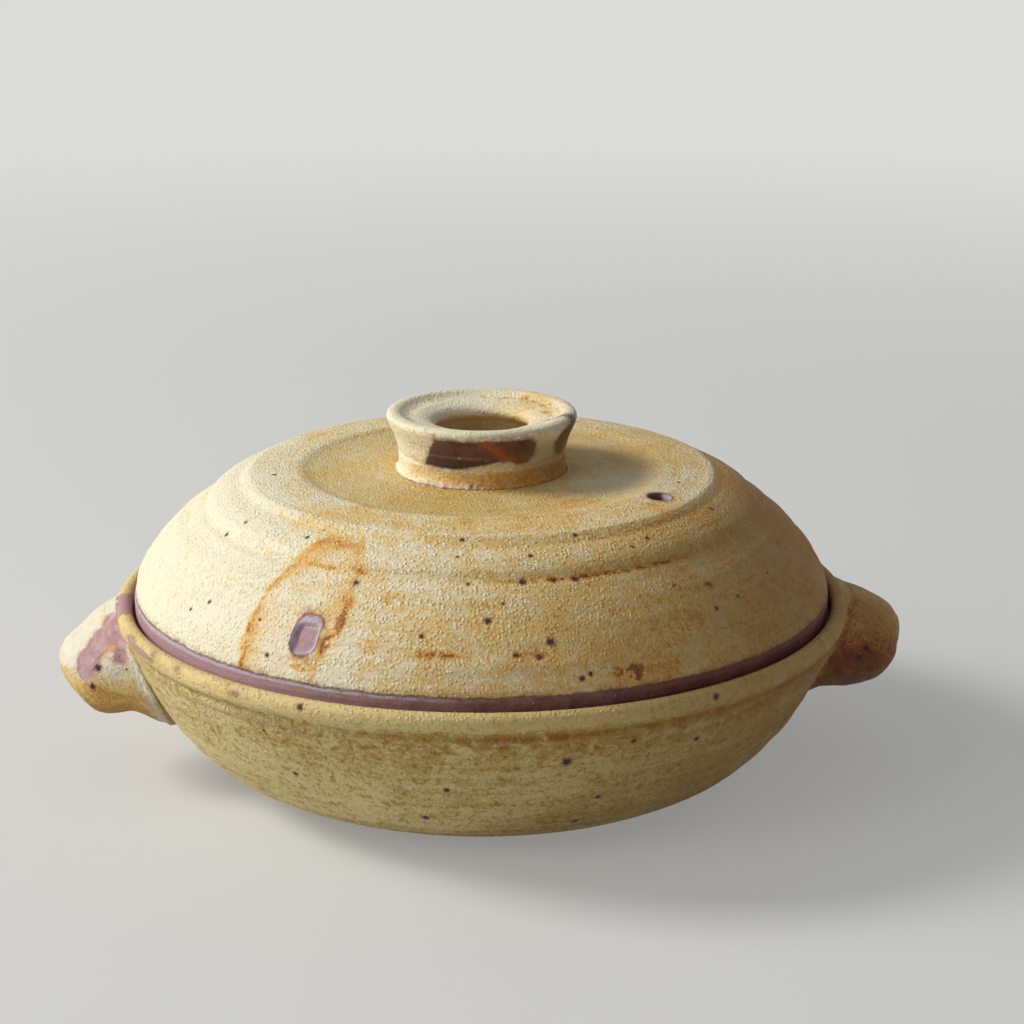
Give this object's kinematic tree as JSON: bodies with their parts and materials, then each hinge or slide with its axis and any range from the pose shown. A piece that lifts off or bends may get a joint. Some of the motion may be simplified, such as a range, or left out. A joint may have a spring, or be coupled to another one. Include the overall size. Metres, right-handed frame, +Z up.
{
  "type": "clay pot casserole",
  "caption": "Donabe: round stoneware casserole with two lug handles and a domed lid with a hollow ring knob and steam hole.",
  "frame": {"origin": "on the pot's axis, at the plane of the table that the foot ring stands on", "axes": "+Z up along the pot's turning axis, +X through the middle of the right handle, -Y towards the viewer"},
  "size_m": [0.324, 0.28, 0.1399],
  "materials": {
    "bowl_glaze": "matte ash glaze",
    "handle_glaze": "matte ash glaze",
    "lid_glaze": "matte ash glaze",
    "knob_glaze": "matte ash glaze"
  },
  "bodies": {
    "pot": {"pot_body": "bowl_glaze", "handle_left": "handle_glaze", "handle_right": "handle_glaze"},
    "lid": {"lid": "lid_glaze", "lid_knob": "knob_glaze"}
  },
  "joints": [
    {"name": "lid_lift", "type": "slide", "parent": "pot", "child": "lid", "axis": [0, 0, 1], "range_m": [0, 0.12]}
  ]
}
